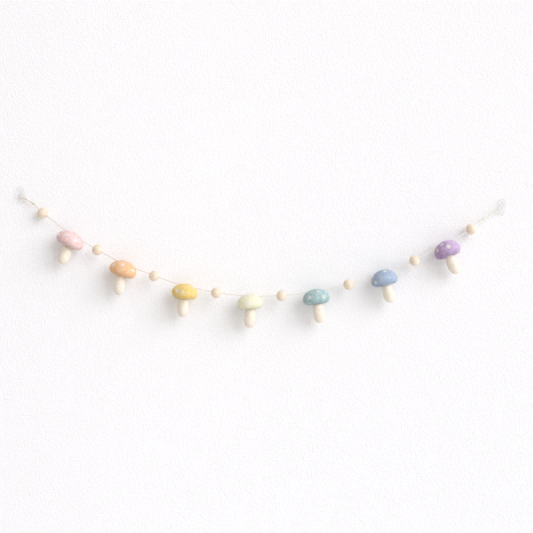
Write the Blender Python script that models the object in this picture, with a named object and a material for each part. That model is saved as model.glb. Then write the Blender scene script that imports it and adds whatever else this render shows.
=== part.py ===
"""Felt mushroom garland hung on two clear wall hooks.

Seven needle-felted mushrooms and eight drilled wooden beads are threaded on one thin string.
Each end of the string is doubled back into a loop, knotted, and hung on a small clear hook.
X runs along the wall and Z is up. The wall is the plane Y = 0, and the garland hangs at Y < 0.
The origin is the middle of the left hook's flat back.
"""

from collections import namedtuple
import math

import bmesh
import bpy
from mathutils import Vector
import numpy as np

MM = 0.001

# Clearance between two pieces that touch on the real garland
GAP = 0.3 * MM

# String and its knots
STRING_D = 1.3 * MM
STRING_POINTS = 60
BORE_SIDES = 8
# Points taken on a spline for each point that is kept
SPLINE_FINENESS = 20
KNOT_LENGTH = 3.4 * MM
KNOT_D = 2.7 * MM
KNOT_RIDGE = 0.12
KNOT_U, KNOT_V = 14, 8

# End loops: the middle line's radius where the string wraps round the hook's arm
WRAP_R = 2.6 * MM
LOOP_POINTS = 30

# Wooden beads
BEAD_D = 16.4 * MM
BEAD_ROUND_LENGTH = 15.0 * MM
BEAD_LENGTH = 14.4 * MM
BEAD_BORE_D = 3.0 * MM
BEAD_MOUTH = 0.4 * MM
BEAD_STEPS = 16
BEAD_ARC_STEPS = 6

# Felt caps: depth against width, and the shape of the dome and of the rolled rim below it
CAP_DEPTH_SHARE = 0.92
CAP_EQUATOR = 0.40
CAP_DOME_POWER = 1.0
CAP_RIM_POWER = 0.72
CAP_HOLLOW = 2.2 * MM
CAP_HOLLOW_SHARE = 0.8
CAP_SKEW = 0.5 * MM
# Unevenness of the cap's outline: waves to the turn, share of the radius, phase from cap to cap
CAP_WAVES = ((2, 0.016, 1.3), (3, 0.012, 2.1), (5, 0.008, 0.7))
CAP_FOLD_WIDTH = 0.16
# The arch in the front of the rim starts this share of the way up the dome
ARCH_FROM = 0.2
CAP_U, CAP_V = 26, 14

# Felt stems: how far each is sunk in its cap, and how square its two ends are
STEM_SUNK = 3.0 * MM
STEM_TOP_SQUARENESS = 6.0
STEM_FOOT_SQUARENESS = 2.5
STEM_FULL_AT = 0.75
STEM_U, STEM_V = 18, 12

# Clear hooks: flat plate with a waist, and an arm that curves up into a round knob
PLATE_LENGTH = 25.0 * MM
PLATE_WIDTH = 13.0 * MM
PLATE_THICKNESS = 3.0 * MM
PLATE_EDGE = 0.8 * MM
PLATE_SQUARENESS = 0.62
PLATE_TAPER = 0.06
PLATE_WAIST = 0.17
PLATE_STEPS = 32
ARM_Z = -2.2 * MM
ARM_SIDES = 12
TROUGH_Y = -4.85 * MM

# The string's way along the wall, in mm from the origin: x along, y out from the wall, z up
STRING_ROUTE = (
    (21.0, -7.3, -14.5),
    (33.9, -9.9, -27.1),
    (51.7, -14.3, -40.5),
    (70.4, -18.6, -54.8),
    (91.7, -20.5, -67.8),
    (117.8, -20.5, -82.9),
    (133.0, -20.5, -91.7),
    (147.5, -20.5, -99.4),
    (171.6, -20.5, -109.9),
    (203.0, -20.5, -121.9),
    (220.7, -20.5, -128.5),
    (238.7, -20.5, -134.2),
    (263.1, -20.5, -140.6),
    (296.0, -20.5, -147.1),
    (315.2, -20.5, -149.8),
    (335.4, -20.5, -151.7),
    (356.3, -20.5, -152.6),
    (393.7, -20.5, -151.6),
    (412.6, -20.5, -150.1),
    (431.4, -20.5, -147.7),
    (456.1, -20.5, -143.6),
    (494.1, -20.5, -134.8),
    (513.1, -20.5, -129.5),
    (531.9, -20.5, -123.2),
    (556.3, -20.5, -114.5),
    (593.0, -20.5, -99.1),
    (609.1, -20.5, -90.4),
    (625.6, -20.3, -81.2),
    (650.9, -18.6, -68.8),
    (679.3, -11.8, -51.6),
    (699.0, -8.2, -37.0),
)

# The near strand of an end loop: away from the arm as a share of the way to the knot, then aside
# along the wall and forwards from it in mm. The far strand mirrors it.
LOOP_STRAND = (
    (1.00, 0.38, 0.74),
    (0.78, 0.38, 0.74),
    (0.56, 0.38, 0.74),
    (0.40, 0.55, 0.66),
    (0.28, 1.00, 0.40),
    (0.17, 1.72, 0.12),
)
WRAP_TURNS = (72.0, 108.0, 144.0, 180.0, 216.0, 252.0, 288.0)

# The arm's middle line in the plane across the wall, in mm: y, z above the plate's middle, radius
ARM_ROUTE = (
    (-1.60, -2.20, 2.60),
    (-3.10, -2.20, 2.30),
    (-3.90, -2.20, 1.70),
    (-5.20, -2.30, 1.55),
    (-6.80, -2.00, 1.50),
    (-8.00, -0.90, 1.50),
    (-8.60, 0.60, 1.70),
    (-8.80, 1.90, 2.25),
    (-8.85, 3.30, 2.70),
    (-8.85, 4.65, 2.34),
    (-8.85, 5.60, 1.35),
)
KNOB_TOP = 6.0 * MM

# Where each bead sits along X, in mm
BEAD_X = (34.2, 118.0, 203.0, 296.0, 393.7, 494.1, 593.0, 679.3)

# Lengths in mm, angles in degrees. x and z are the middle of the cap, tilt is the cap's right side
# lower, lean is the stem's foot to the left. side makes one end of the cap the bigger, fold is
# where a soft crease crosses the cap as a share of its radius, fold_depth its depth share, and
# arch how far the front of the rim is drawn up round the stem.
Mushroom = namedtuple(
    "Mushroom",
    "name x z tilt width height side fold fold_depth arch"
    " stem_x stem_z lean stem_length stem_top stem_low bend",
)
MUSHROOMS = (
    Mushroom("pink", 77.0, -68.5, 26, 41.5, 24.5, 0.00, 0.78, 0.03, 1.0,
             74.0, -78.1, 22.5, 28.5, 15.0, 17.6, 0.4),
    Mushroom("orange", 156.6, -112.4, 16, 40.2, 26.0, 0.00, -0.62, 0.05, 1.5,
             153.1, -119.8, 7.6, 30.7, 14.8, 17.5, -0.5),
    Mushroom("yellow", 248.8, -146.6, 8, 38.6, 25.0, 0.01, 0.52, 0.05, 0.5,
             247.2, -156.7, 4.6, 27.3, 15.4, 16.8, 0.4),
    Mushroom("lime", 346.6, -161.9, -2, 38.2, 24.0, 0.00, 0.40, 0.00, 0.0,
             347.3, -172.4, 4.3, 28.0, 15.0, 16.6, 0.0),
    Mushroom("aqua", 445.9, -154.4, -7, 39.2, 24.4, -0.01, 0.30, 0.00, 0.5,
             448.2, -164.2, -8.8, 28.7, 15.0, 17.5, -0.4),
    Mushroom("blue", 547.7, -125.8, -14, 39.0, 26.0, 0.00, -0.76, 0.04, 0.5,
             551.0, -136.3, -16.5, 27.0, 14.8, 17.0, -0.3),
    Mushroom("purple", 641.9, -82.9, -21, 40.0, 26.5, 0.00, -0.76, 0.04, 2.5,
             645.3, -90.7, -23.5, 31.0, 14.4, 18.2, -0.6),
)

# Middle of each hook's back along X and Z in mm, and its turn in degrees, top to the right
Hook = namedtuple("Hook", "name x z turn")
HOOKS = (Hook("left", 0.0, 0.0, -15.0), Hook("right", 726.9, -18.6, 3.0))

# Colour, roughness and alpha of each finish
FINISHES = {
    "felt_pink": ((0.80, 0.52, 0.49), 0.95, 1.0),
    "felt_orange": ((0.87, 0.50, 0.28), 0.95, 1.0),
    "felt_yellow": ((0.85, 0.62, 0.20), 0.95, 1.0),
    "felt_lime": ((0.76, 0.77, 0.52), 0.95, 1.0),
    "felt_aqua": ((0.37, 0.55, 0.57), 0.95, 1.0),
    "felt_blue": ((0.34, 0.45, 0.62), 0.95, 1.0),
    "felt_purple": ((0.44, 0.31, 0.57), 0.95, 1.0),
    "felt_cream": ((0.86, 0.77, 0.64), 0.95, 1.0),
    "bead_wood": ((0.84, 0.71, 0.55), 0.60, 1.0),
    "string_cotton": ((0.83, 0.75, 0.62), 0.90, 1.0),
    "hook_clear": ((0.90, 0.92, 0.93), 0.10, 0.4),
}


def clear_scene():
    """Remove every object of the starting scene."""
    for obj in list(bpy.data.objects):
        bpy.data.objects.remove(obj, do_unlink=True)


def finish(name):
    """The Principled material of this name, made on first use."""
    found = bpy.data.materials.get(name)
    if found:
        return found
    colour, roughness, alpha = FINISHES[name]
    made = bpy.data.materials.new(name)
    made.use_nodes = True
    shader = made.node_tree.nodes["Principled BSDF"]
    shader.inputs["Base Color"].default_value = (*colour, 1.0)
    shader.inputs["Roughness"].default_value = roughness
    shader.inputs["Metallic"].default_value = 0.0
    shader.inputs["Alpha"].default_value = alpha
    return made


def new_object(name, data, finish_name=None):
    """An object in the scene, with its finish if it is a part."""
    obj = bpy.data.objects.new(name, data)
    bpy.context.scene.collection.objects.link(obj)
    if finish_name and not data.materials:
        data.materials.append(finish(finish_name))
    return obj


def as_helper(obj):
    """Keep a cutter or a joined-in shape out of the render."""
    obj.hide_render = True
    obj.display_type = "WIRE"
    return obj


def boolean(obj, operation, other):
    """Cut the other object from this one, or join it to this one."""
    modifier = obj.modifiers.new(operation.lower(), "BOOLEAN")
    modifier.operation = operation
    modifier.solver = "EXACT"
    modifier.object = other


def smooth_curve(route, count):
    """count points evenly spaced on the natural cubic spline through the route's points.

    The spline's parameter is the straight distance from point to point.
    """
    route = np.array(route, float)
    step = np.linalg.norm(np.diff(route, axis=0), axis=1)
    knots = np.concatenate([[0.0], np.cumsum(step)])
    size = len(route)
    matrix = np.eye(size)
    right = np.zeros((size, 3))
    for i in range(1, size - 1):
        matrix[i, i - 1:i + 2] = step[i - 1], 2 * (step[i - 1] + step[i]), step[i]
        rise = (route[i + 1] - route[i]) / step[i]
        run = (route[i] - route[i - 1]) / step[i - 1]
        right[i] = 6 * (rise - run)
    second = np.linalg.solve(matrix, right)
    at = np.linspace(0, knots[-1], SPLINE_FINENESS * size)
    i = np.clip(np.searchsorted(knots, at) - 1, 0, size - 2)
    a = ((knots[i + 1] - at) / step[i])[:, None]
    b = 1 - a
    bulge = (a**3 - a) * second[i] + (b**3 - b) * second[i + 1]
    dense = a * route[i] + b * route[i + 1] + bulge * (step[i]**2 / 6)[:, None]
    return even_points(dense, count)


def even_points(points, count, cut=0.0):
    """count points evenly spaced along a line of points, with a length cut off both its ends."""
    run = np.linalg.norm(np.diff(points, axis=0), axis=1)
    along = np.concatenate([[0.0], np.cumsum(run)])
    at = np.linspace(cut, along[-1] - cut, count)
    return np.stack([np.interp(at, along, points[:, k]) for k in range(3)], axis=1)


def string_line():
    """The string's middle line from knot to knot, in metres."""
    return smooth_curve(np.array(STRING_ROUTE) * MM, SPLINE_FINENESS * STRING_POINTS)


def on_string(line, x):
    """The point and the direction of the string at this x."""
    point = Vector([float(np.interp(x, line[:, 0], line[:, k])) for k in range(3)])
    slope = np.gradient(line, axis=0)
    direction = Vector([float(np.interp(x, line[:, 0], slope[:, k])) for k in range(3)])
    return point, direction.normalized()


def string_piece(name, points):
    """A round tube along the points, with closed ends."""
    curve = bpy.data.curves.new(name, "CURVE")
    curve.dimensions = "3D"
    curve.bevel_depth = STRING_D / 2
    curve.bevel_resolution = 2
    curve.use_fill_caps = True
    spline = curve.splines.new("POLY")
    spline.points.add(len(points) - 1)
    spline.points.foreach_set("co", np.column_stack([points, np.ones(len(points))]).ravel())
    return new_object(name, curve, "string_cotton")


def tube_mesh(name, centres, radii, sides, tip=None):
    """A closed tube through the centres, whose rings stand across the line without twisting.

    tip is a point beyond the last ring, where the tube ends instead of in a flat face.
    """
    centres = [Vector(c) for c in centres]
    mesh = bmesh.new()
    rings = []
    for i, centre in enumerate(centres):
        ahead = centres[min(i + 1, len(centres) - 1)] - centres[max(i - 1, 0)]
        first = ahead.orthogonal().normalized() if i == 0 else first - first.project(ahead)
        first.normalize()
        second = ahead.normalized().cross(first)
        ring = []
        for k in range(sides):
            turn = 2 * math.pi * k / sides
            offset = first * math.cos(turn) + second * math.sin(turn)
            ring.append(mesh.verts.new(centre + offset * radii[i]))
        rings.append(ring)
    for low, high in zip(rings, rings[1:]):
        for k in range(sides):
            after = (k + 1) % sides
            mesh.faces.new((low[k], low[after], high[after], high[k]))
    mesh.faces.new(rings[0][::-1])
    if tip is None:
        mesh.faces.new(rings[-1])
    else:
        point = mesh.verts.new(tip)
        for k in range(sides):
            mesh.faces.new((rings[-1][k], rings[-1][(k + 1) % sides], point))
    return finished_mesh(name, mesh)


def finished_mesh(name, mesh):
    """Turn the faces outwards, shade them smooth and close the working mesh."""
    bmesh.ops.recalc_face_normals(mesh, faces=mesh.faces)
    data = bpy.data.meshes.new(name)
    mesh.to_mesh(data)
    mesh.free()
    data.shade_smooth()
    return data


def shaped_sphere(name, u_steps, v_steps, shape):
    """A sphere whose every point, given as turn and angle from the top, moves where shape says."""
    mesh = bmesh.new()
    bmesh.ops.create_uvsphere(mesh, u_segments=u_steps, v_segments=v_steps, radius=1.0)
    for vert in mesh.verts:
        turn = math.atan2(vert.co.y, vert.co.x)
        down = math.acos(max(-1.0, min(1.0, vert.co.z)))
        vert.co = shape(turn, down)
    return finished_mesh(name, mesh)


def cap_shape(row, number):
    """The cap's surface about its own middle, with Z up through the crown.

    Above the equator the outline is a dome, below it a tighter rolled rim, drawn up into a
    shallow hollow round the stem. Slow waves and a skew make it uneven, the fold is a trough
    across X, and the arch lifts the lower half of the front.
    """
    radius = row.width * MM / 2
    height = row.height * MM
    drop = CAP_EQUATOR * height
    rise = height - drop
    equator = drop - height / 2

    def shape(turn, down):
        across = max(0.0, math.sin(down))
        up = math.cos(down)
        if up >= 0:
            out = radius * across**CAP_DOME_POWER
            level = equator + rise * up
        else:
            out = radius * across**CAP_RIM_POWER
            inward = max(0.0, 1 - (out / (CAP_HOLLOW_SHARE * radius)) ** 2)
            level = equator + drop * up + CAP_HOLLOW * inward
        wave = sum(share * math.cos(n * turn + step * number) for n, share, step in CAP_WAVES)
        out *= 1 + across * (wave + row.side * math.cos(turn))
        level += CAP_SKEW * across * math.sin(2 * turn + 0.9 * number)
        front = max(0.0, -math.sin(turn))
        level += row.arch * MM * front**4 * across * max(0.0, ARCH_FROM - up)
        x = out * math.cos(turn)
        y = out * math.sin(turn) * CAP_DEPTH_SHARE
        trough = row.fold_depth * math.exp(-(((x / radius - row.fold) / CAP_FOLD_WIDTH) ** 2))
        return Vector((x, y, level)) * (1 - trough)

    return shape


def stem_shape(row, grow):
    """The stem's surface below the point where it meets the cap, with Z up along it.

    The outline is a long superellipse, squarer at the top than at the foot, which widens from
    the top width to the low width, and bows sideways. grow adds a clearance all round.
    """
    length = row.stem_length * MM + STEM_SUNK
    half = length / 2 + grow

    def shape(turn, down):
        along = -math.cos(down)
        power = STEM_TOP_SQUARENESS if along < 0 else STEM_FOOT_SQUARENESS
        full = (1 - min(1.0, abs(along)) ** power) ** (1 / power)
        share = min(1.0, (along + 1) / 2 / STEM_FULL_AT)
        width = row.stem_top + (row.stem_low - row.stem_top) * share * share * (3 - 2 * share)
        out = full * (width * MM / 2 + grow)
        bow = row.bend * MM * math.sin(math.pi * (along + 1) / 2)
        middle = STEM_SUNK - length / 2
        return Vector((out * math.cos(turn) + bow, out * math.sin(turn), middle - along * half))

    return shape


def place(obj, x, y, z, turn):
    """Set an object at x, y, z and turn it in the plane of the wall, its right side down."""
    obj.location = (x, y, z)
    obj.rotation_euler = (0.0, math.radians(turn), 0.0)


def mushroom(row, number, line, string_bore):
    """A cap with its string bore and its socket, and the stem that stands in the socket."""
    middle, _ = on_string(line, row.x * MM)
    shape = cap_shape(row, number)
    cap = new_object(
        f"cap_{row.name}",
        shaped_sphere(f"cap_{row.name}", CAP_U, CAP_V, shape),
        f"felt_{row.name}",
    )
    place(cap, row.x * MM, middle.y, row.z * MM, row.tilt)
    stem = new_object(
        f"stem_{row.name}",
        shaped_sphere(f"stem_{row.name}", STEM_U, STEM_V, stem_shape(row, 0.0)),
        "felt_cream",
    )
    socket = as_helper(new_object(
        f"socket_{row.name}",
        shaped_sphere(f"socket_{row.name}", STEM_U, STEM_V, stem_shape(row, GAP)),
    ))
    for piece in (stem, socket):
        place(piece, row.stem_x * MM, middle.y, row.stem_z * MM, row.lean)
    boolean(cap, "DIFFERENCE", socket)
    boolean(cap, "DIFFERENCE", string_bore)


def bead_mesh():
    """The half-section of a bead, turned round Z: a ball with flat drilled ends and a bore."""
    ball = BEAD_D / 2
    pole = BEAD_ROUND_LENGTH / 2
    half = BEAD_LENGTH / 2
    bore = BEAD_BORE_D / 2
    edge = math.acos(half / pole)
    profile = []
    for i in range(BEAD_ARC_STEPS + 1):
        down = edge + (math.pi - 2 * edge) * i / BEAD_ARC_STEPS
        profile.append((ball * math.sin(down), pole * math.cos(down)))
    profile.append((bore + BEAD_MOUTH, -half))
    profile.append((bore, -half + BEAD_MOUTH))
    profile.append((bore, half - BEAD_MOUTH))
    profile.append((bore + BEAD_MOUTH, half))
    mesh = bpy.data.meshes.new("bead")
    count = len(profile)
    points = [(r, 0.0, z) for r, z in profile]
    mesh.from_pydata(points, [(i, (i + 1) % count) for i in range(count)], [])
    return mesh


def turned(obj):
    """Turn the object's profile round its own Z axis."""
    screw = obj.modifiers.new("turned", "SCREW")
    screw.axis = "Z"
    screw.angle = 2 * math.pi
    screw.steps = BEAD_STEPS
    screw.render_steps = BEAD_STEPS
    screw.use_merge_vertices = True
    screw.merge_threshold = 0.00001
    screw.use_smooth_shade = True


def beads(line):
    """Eight beads in line with the string, each hanging on it by the top of its bore."""
    mesh = bead_mesh()
    hang = (BEAD_BORE_D - STRING_D) / 2 - GAP
    for number, x in enumerate(BEAD_X, start=1):
        point, direction = on_string(line, x * MM)
        below = Vector((0.0, 0.0, -1.0))
        below = (below - below.project(direction)).normalized()
        bead = new_object(f"bead_{number}", mesh, "bead_wood")
        bead.location = point + below * hang
        bead.rotation_mode = "QUATERNION"
        bead.rotation_quaternion = direction.to_track_quat("Z", "Y")
        turned(bead)


def knot(name, centre, direction):
    """A small overhand knot: a rounded lump with the string's turns as slanting ridges."""

    def shape(turn, down):
        along = math.cos(down)
        ridge = 1 + KNOT_RIDGE * math.cos(2 * turn + 5 * along)
        out = KNOT_D / 2 * math.sin(down) * ridge
        return Vector((out * math.cos(turn), out * math.sin(turn), KNOT_LENGTH / 2 * along))

    obj = new_object(name, shaped_sphere(name, KNOT_U, KNOT_V, shape), "string_cotton")
    obj.location = centre
    obj.rotation_mode = "QUATERNION"
    obj.rotation_quaternion = direction.to_track_quat("Z", "Y")


def loop_points(hook, knot_at):
    """One end loop: along a strand from the knot, round under the arm, and back to the knot."""
    turn = math.radians(hook.turn)
    arm = Vector((hook.x * MM + math.sin(turn) * ARM_Z, TROUGH_Y, hook.z * MM + math.cos(turn) * ARM_Z))
    away = Vector(knot_at) - arm
    reach = away.length - KNOT_LENGTH / 2 - GAP
    away.normalize()
    aside = Vector((0.0, 1.0, 0.0)).cross(away).normalized()
    forwards = Vector((0.0, -1.0, 0.0))
    strand = [(share * reach, out * MM, front * MM) for share, out, front in LOOP_STRAND]
    turns = [math.radians(angle) for angle in WRAP_TURNS]
    wrap = [(WRAP_R * math.cos(angle), WRAP_R * math.sin(angle), 0.0) for angle in turns]
    back = [(along, -out, -front) for along, out, front in reversed(strand)]
    route = [
        arm + away * along + aside * out + forwards * front
        for along, out, front in strand + wrap + back
    ]
    return smooth_curve([tuple(point) for point in route], LOOP_POINTS)


def plate_mesh(name):
    """The plate's outline, drawn out from the wall, with its front edge rounded.

    The outline is an oval with straightened sides, a little wider at the top and narrowed at
    the waist.
    """
    mesh = bmesh.new()
    outline = []
    for i in range(PLATE_STEPS):
        turn = 2 * math.pi * i / PLATE_STEPS
        side = math.sin(turn)
        width = math.copysign(abs(side) ** PLATE_SQUARENESS, side) * PLATE_WIDTH / 2
        width *= (1 + PLATE_TAPER * math.cos(turn)) * (1 - PLATE_WAIST * side**8)
        outline.append(mesh.verts.new((width, 0.0, PLATE_LENGTH / 2 * math.cos(turn))))
    back = mesh.faces.new(outline)
    front = bmesh.ops.extrude_face_region(mesh, geom=[back])["geom"]
    moved = [part for part in front if isinstance(part, bmesh.types.BMVert)]
    bmesh.ops.translate(mesh, verts=moved, vec=(0.0, -PLATE_THICKNESS, 0.0))
    edges = [e for e in mesh.edges if all(v in moved for v in e.verts)]
    bmesh.ops.bevel(mesh, geom=edges, offset=PLATE_EDGE, segments=2, affect="EDGES")
    return finished_mesh(name, mesh)


def hook(row):
    """A clear plate with a curved arm joined to it."""
    name = f"hook_{row.name}"
    plate = new_object(name, plate_mesh(name), "hook_clear")
    centres = [(0.0, y * MM, z * MM) for y, z, _ in ARM_ROUTE]
    radii = [radius * MM for _, _, radius in ARM_ROUTE]
    tip = (0.0, ARM_ROUTE[-1][0] * MM, KNOB_TOP)
    arm = as_helper(new_object(
        f"arm_{row.name}", tube_mesh(f"arm_{row.name}", centres, radii, ARM_SIDES, tip)
    ))
    for piece in (plate, arm):
        place(piece, row.x * MM, 0.0, row.z * MM, row.turn)
    boolean(plate, "UNION", arm)


def garland():
    """The string with its loops and knots, and everything that is threaded on it."""
    line = string_line()
    points = even_points(line, STRING_POINTS, cut=KNOT_LENGTH / 2 + GAP)
    string_piece("string", points)
    bore_r = (STRING_D / 2 + GAP) / math.cos(math.pi / BORE_SIDES)
    bore = as_helper(new_object(
        "string_bore", tube_mesh("string_bore", points, [bore_r] * len(points), BORE_SIDES)
    ))
    for number, row in enumerate(MUSHROOMS):
        mushroom(row, number, line, bore)
    beads(line)
    slope = np.gradient(line, axis=0)
    for row, end in zip(HOOKS, (0, -1)):
        knot(f"knot_{row.name}", Vector(line[end]), Vector(slope[end]).normalized())
        string_piece(f"loop_{row.name}", loop_points(row, line[end]))


def main():
    clear_scene()
    for row in HOOKS:
        hook(row)
    garland()


main()
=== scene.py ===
"""Looks of a felt mushroom garland that hangs from two clear hooks on a plaster wall.

Needle-felted caps and stems, turned beads, twisted cotton string and clear plastic hooks are
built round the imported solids. X runs along the wall, Z is up, and the wall is the plane Y = 0.
"""

import math
from collections import namedtuple
from itertools import product

import bpy
import numpy as np
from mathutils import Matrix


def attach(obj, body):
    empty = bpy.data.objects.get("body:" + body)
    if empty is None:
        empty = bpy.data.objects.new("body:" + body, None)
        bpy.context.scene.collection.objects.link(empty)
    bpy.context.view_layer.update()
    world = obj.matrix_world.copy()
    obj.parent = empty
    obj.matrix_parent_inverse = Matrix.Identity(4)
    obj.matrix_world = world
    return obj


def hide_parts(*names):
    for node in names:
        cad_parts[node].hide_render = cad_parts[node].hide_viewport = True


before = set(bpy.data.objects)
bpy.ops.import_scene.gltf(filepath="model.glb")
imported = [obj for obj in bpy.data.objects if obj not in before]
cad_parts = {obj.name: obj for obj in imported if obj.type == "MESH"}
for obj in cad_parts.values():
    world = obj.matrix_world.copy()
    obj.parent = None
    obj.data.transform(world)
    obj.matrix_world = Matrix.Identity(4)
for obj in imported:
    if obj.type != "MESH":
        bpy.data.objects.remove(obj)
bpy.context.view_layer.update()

MM = 0.001
# Room between two pieces that fit together, and between soft wool and the wall
GAP = 0.3 * MM
WALL_GAP = 0.1 * MM

# Camera: straight at the wall, from two metres in front of it
CAMERA_AT = (0.3714, -2.02, -0.10824)
CAMERA_LENS = 90.06

# String and its knots
STRING_D = 1.3 * MM
STRING_PITCH = 4.6 * MM
STRING_GROOVE = 0.30
STRING_SIDES = 15
STRING_POINTS = 2080
STRING_END_ROUND = 0.4
LOOP_POINTS = 170
KNOT_LENGTH = 3.4 * MM
KNOT_TURNS = 3.0
KNOT_STRING_D = 1.15 * MM
KNOT_R = 1.05 * MM
KNOT_WAVE = 0.35 * MM
KNOT_POINTS = 150
KNOT_END_ROUND = 0.5
INTO_KNOT = 1.0 * MM
WRAP_R = 2.6 * MM
ARM_Z = -2.2 * MM
TROUGH_Y = -4.85 * MM
INTO_WALL = (0.0, 1.0, 0.0)

# Wooden beads
BEAD_D = 16.4 * MM
BEAD_ROUND_LENGTH = 15.0 * MM
BEAD_LENGTH = 14.4 * MM
BEAD_BORE_D = 3.0 * MM
BEAD_MOUTH = 0.5 * MM
BEAD_SIDES = 56
BALL_RINGS = 34
MOUTH_RINGS = 5
BORE_RINGS = 6

# Felt caps and stems
CAP_DEPTH_SHARE = 0.92
CAP_EQUATOR = 0.40
CAP_RIM_POWER = 0.72
CAP_HOLLOW = 2.2 * MM
CAP_HOLLOW_SHARE = 0.8
CAP_SKEW = 0.5 * MM
CAP_WAVES = ((2, 0.016, 1.3), (3, 0.012, 2.1), (5, 0.008, 0.7))
CAP_FOLD_WIDTH = 0.16
ARCH_FROM = 0.2
STEM_SUNK = 3.0 * MM
STEM_TOP_SQUARENESS = 6.0
STEM_FOOT_SQUARENESS = 2.5
STEM_FULL_AT = 0.75

# Rings of points round a cap or stem, and the angle in radians from its ends to the first ring
CAP_SIDES = 192
CAP_RINGS = 112
STEM_SIDES = 120
STEM_RINGS = 88
FIRST_RING = 0.006

# Relief of the felt: for each layer of lumps its height and spacing in mm, and its seed
CAP_LUMPS = ((0.30, 8.0, 0), (0.13, 3.2, 20), (0.05, 1.3, 40))
STEM_LUMPS = ((0.26, 6.5, 120), (0.17, 2.8, 140), (0.07, 1.2, 160))
SPOT_EDGE_LUMPS = ((0.28, 1.7, 70), (0.20, 0.9, 90))

# Swell and dent of a spot, and the pucker round the string with its lip, in mm
SPOT_SWELL = 0.16
SPOT_DENT = 0.14
SPOT_EASE = 0.3
SPOT_DENT_WIDTH = 0.4
PUCKER_DEPTH = 1.5
PUCKER_R = 1.25
LIP_HEIGHT = 0.22
LIP_R = 2.6

# Where a cap's painted shade, socket and underside without fuzz begin, in radians from the crown,
# and how strong the painted shade under the rim gets there
PAINTED_SHADE_FROM = 1.35
SOCKET_FROM = 2.0
BARE_FROM = 2.55
CAP_PAINTED_SHADE = 0.9

# Fuzz, the loose ends of wool: how many, and in mm their length, the spread and depth of their
# roots, and their radius at the root and halfway
CAP_FUZZ = 2600
STEM_FUZZ = 1300
FUZZ_LENGTH = (0.5, 1.8)
FUZZ_SPREAD = 0.15
FUZZ_SUNK = 0.1
FUZZ_ROOT_R = 0.035
FUZZ_HALFWAY_R = 0.026

# How far fuzz points outwards and leans aside, in shares of its length, and its curl and droop
FUZZ_OUT = (0.15, 0.6)
FUZZ_LEAST_OUT = 0.12
FUZZ_ASIDE = 0.55
FUZZ_CURL = 0.4
FUZZ_DROOP = 0.1

# Clear hooks
PLATE_LENGTH = 25.0 * MM
PLATE_WIDTH = 13.0 * MM
PLATE_THICKNESS = 3.0 * MM
PLATE_EDGE = 0.9 * MM
PLATE_SQUARENESS = 0.62
PLATE_TAPER = 0.06
PLATE_WAIST = 0.17
PLATE_SIDES = 96
EDGE_RINGS = 7
KNOB_TOP = 6.0 * MM
ARM_SIDES = 32
ARM_POINTS = 60

# The string's way, in mm: x along the wall, y out from it, z up
STRING_ROUTE = (
    (21.0, -7.3, -14.5),
    (33.9, -9.9, -27.1),
    (51.7, -14.3, -40.5),
    (70.4, -18.6, -54.8),
    (91.7, -20.5, -67.8),
    (117.8, -20.5, -82.9),
    (133.0, -20.5, -91.7),
    (147.5, -20.5, -99.4),
    (171.6, -20.5, -109.9),
    (203.0, -20.5, -121.9),
    (220.7, -20.5, -128.5),
    (238.7, -20.5, -134.2),
    (263.1, -20.5, -140.6),
    (296.0, -20.5, -147.1),
    (315.2, -20.5, -149.8),
    (335.4, -20.5, -151.7),
    (356.3, -20.5, -152.6),
    (393.7, -20.5, -151.6),
    (412.6, -20.5, -150.1),
    (431.4, -20.5, -147.7),
    (456.1, -20.5, -143.6),
    (494.1, -20.5, -134.8),
    (513.1, -20.5, -129.5),
    (531.9, -20.5, -123.2),
    (556.3, -20.5, -114.5),
    (593.0, -20.5, -99.1),
    (609.1, -20.5, -90.4),
    (625.6, -20.3, -81.2),
    (650.9, -18.6, -68.8),
    (679.3, -11.8, -51.6),
    (699.0, -8.2, -37.0),
)

# The near strand of an end loop: away from the arm in shares of the way to the knot and in mm,
# half the distance between the strands in mm, and the turn of the one about the other in degrees
LOOP_STRAND = (
    (1.00, 0.0, 0.66, -60.0),
    (0.80, 0.0, 0.83, 0.0),
    (0.60, 0.0, 0.83, 75.0),
    (0.00, 8.8, 0.86, 50.0),
    (0.00, 6.0, 1.05, 16.0),
    (0.00, 3.4, 1.72, 4.0),
)
WRAP_TURNS = (72.0, 108.0, 144.0, 180.0, 216.0, 252.0, 288.0)

# The arm's middle line in the plane across the wall, in mm: y, z above the plate's middle, radius
ARM_ROUTE = (
    (-1.60, -2.20, 2.60),
    (-3.10, -2.20, 2.30),
    (-3.90, -2.20, 1.70),
    (-5.20, -2.30, 1.55),
    (-6.80, -2.00, 1.50),
    (-8.00, -0.90, 1.50),
    (-8.60, 0.60, 1.70),
    (-8.80, 1.90, 2.25),
    (-8.85, 3.30, 2.70),
    (-8.85, 4.65, 2.34),
    (-8.85, 5.60, 1.35),
)

BEAD_X = (34.2, 118.0, 203.0, 296.0, 393.7, 494.1, 593.0, 679.3)

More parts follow.
